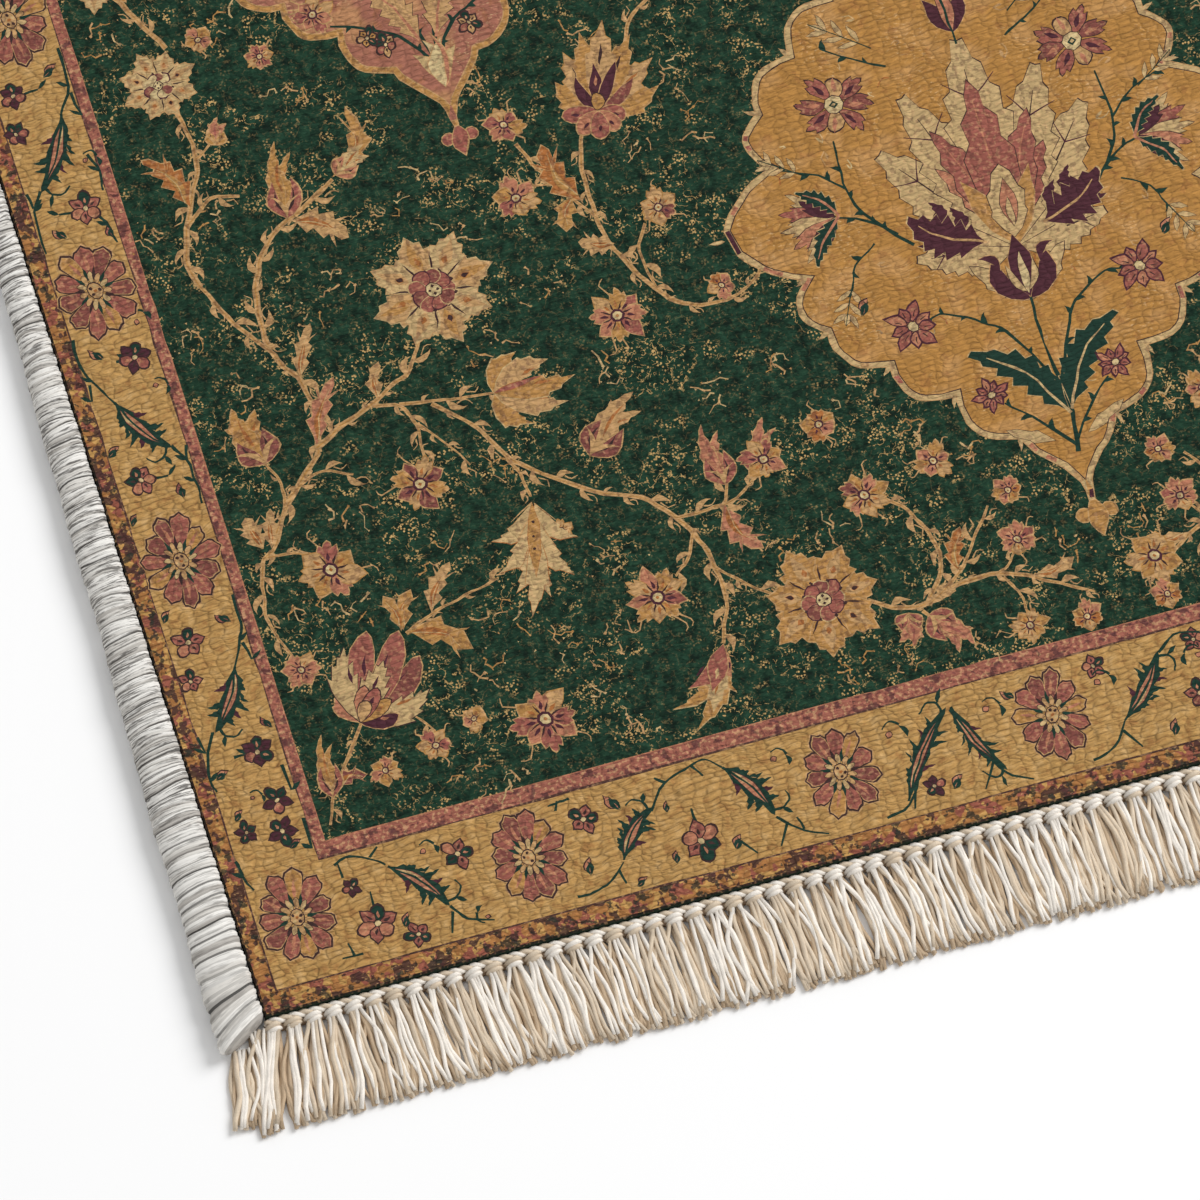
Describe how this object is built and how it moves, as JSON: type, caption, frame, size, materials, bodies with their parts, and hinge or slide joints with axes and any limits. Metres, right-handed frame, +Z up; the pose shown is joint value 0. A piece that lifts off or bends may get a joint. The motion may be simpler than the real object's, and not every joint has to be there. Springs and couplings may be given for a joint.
{
  "type": "washable area rug",
  "caption": "Flat rectangular woven area rug with a wrapped cord binding along each long side and a knotted yarn fringe across each end.",
  "frame": {"origin": "on the floor under the middle of the rug", "axes": "+Z up, the rug's length with its fringes along Y, its width along X"},
  "size_m": [0.983, 1.645, 0.0139],
  "materials": {
    "woven_cloth": "matte flat weave in deep green, ochre gold and dusty rose",
    "binding_yarn": "soft marled white and grey yarn",
    "fringe_yarn": "soft ivory cotton yarn"
  },
  "bodies": {
    "root": {"rug_body": "woven_cloth", "binding_left": "binding_yarn", "binding_right": "binding_yarn", "fringe_south": "fringe_yarn", "fringe_north": "fringe_yarn"}
  },
  "joints": []
}
